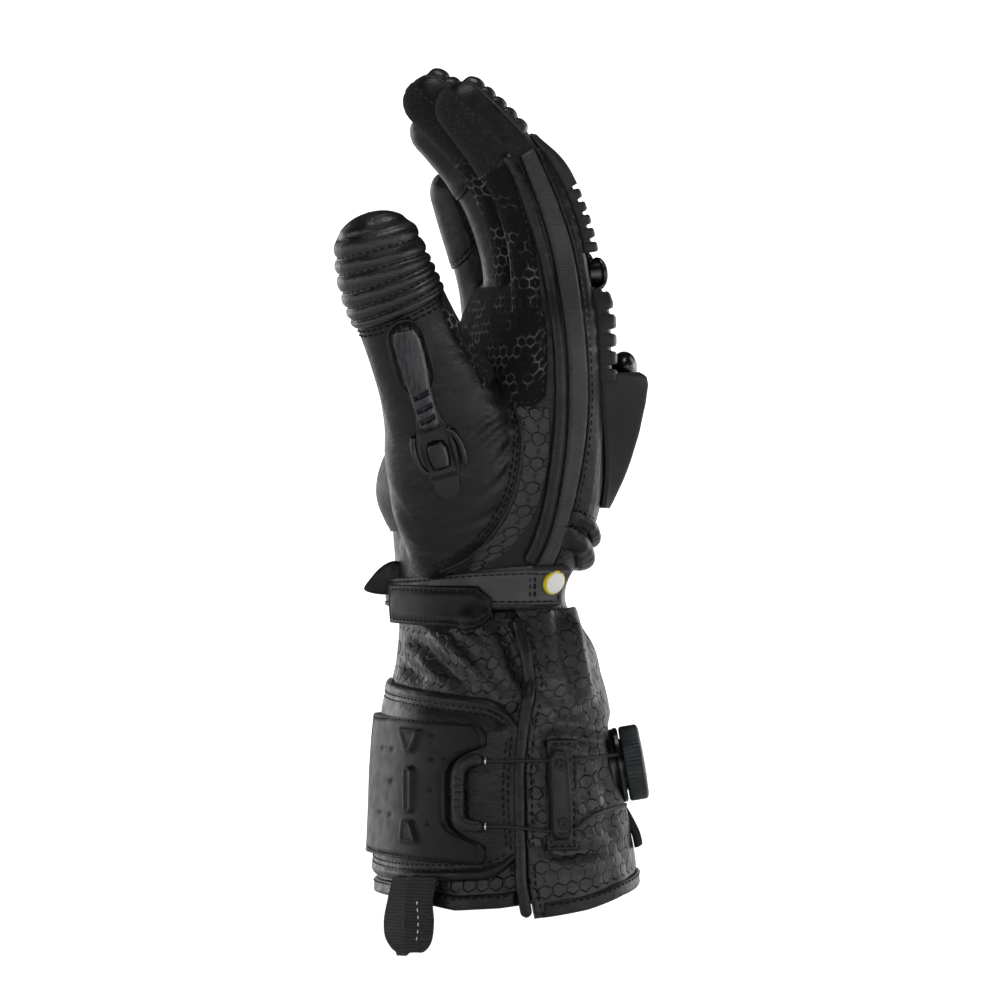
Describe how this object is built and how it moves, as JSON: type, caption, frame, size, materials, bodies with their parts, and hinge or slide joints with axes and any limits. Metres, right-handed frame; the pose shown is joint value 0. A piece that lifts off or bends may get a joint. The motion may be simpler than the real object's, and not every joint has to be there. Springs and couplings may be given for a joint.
{
  "type": "motorcycle glove",
  "caption": "Right-hand leather motorcycle gauntlet glove with knuckle armour, a hand shield, a wrist strap and a cuff flap closed by a laced dial.",
  "frame": {"origin": "middle of the cuff's mouth, where the hand goes in", "axes": "+Z from the cuff to the fingertips, +X out of the back of the hand, -Y to the thumb's side"},
  "size_m": [0.1159, 0.1283, 0.3199],
  "materials": {
    "leather": "smooth full-grain leather with a low sheen",
    "embossed_leather": "leather embossed with small hexagons",
    "suede": "matt suede",
    "hard_plastic": "fine-grained moulding",
    "gloss_plastic": "polished moulding",
    "moulded_rubber": "satin rubber",
    "knob_rubber": "satin rubber with fine grip",
    "webbing": "ribbed woven webbing",
    "lace": "coated braided lace",
    "snap_white": "glossy cap with a yellow rim"
  },
  "bodies": {
    "glove": {"hand_body": "leather", "index_finger": "leather", "middle_finger": "leather", "ring_finger": "leather", "little_finger": "leather", "thumb": "leather", "cuff_back": "embossed_leather", "cuff_palm": "embossed_leather", "hem_binding_back": "leather", "hem_binding_palm": "leather", "edge_piping": "leather", "closure_flap": "leather", "closure_plate": "moulded_rubber", "lace_upper": "lace", "lace_lower": "lace", "lace_hook": "gloss_plastic", "lace_guide": "hard_plastic", "dial_base": "gloss_plastic", "dial_stud": "gloss_plastic", "dial_tongue": "moulded_rubber", "wrist_strap": "suede", "strap_tab": "moulded_rubber", "snap": "snap_white", "strap_end": "leather", "thumb_quilt": "leather", "thumb_slider": "gloss_plastic", "index_quilt": "leather", "index_armour": "hard_plastic", "index_rivet": "gloss_plastic", "middle_quilt": "leather", "middle_armour": "hard_plastic", "middle_rivet": "gloss_plastic", "ring_quilt": "leather", "ring_armour": "hard_plastic", "ring_rivet": "gloss_plastic", "little_quilt": "leather", "little_armour": "hard_plastic", "little_rivet": "gloss_plastic", "index_knuckle": "hard_plastic", "middle_knuckle": "hard_plastic", "ring_knuckle": "hard_plastic", "little_knuckle": "hard_plastic", "hand_shield": "hard_plastic", "wrist_roll_upper": "leather", "wrist_roll_lower": "leather", "palm_patch": "suede", "index_touch_pad": "suede", "middle_touch_pad": "suede", "palm_slider": "moulded_rubber", "side_piping": "leather", "pull_loop": "webbing"},
    "spool": {"dial_spool": "gloss_plastic"},
    "knob": {"dial_knob": "knob_rubber"}
  },
  "joints": [
    {"name": "dial_turn", "type": "hinge", "parent": "glove", "child": "spool", "pos_m": [0.047, -0.005, 0.0478], "axis": [0.9854, 0, 0.1701], "continuous": true},
    {"name": "dial_pull", "type": "slide", "parent": "spool", "child": "knob", "axis": [0.9854, 0, 0.1701], "range_m": [0, 0.0025]}
  ]
}
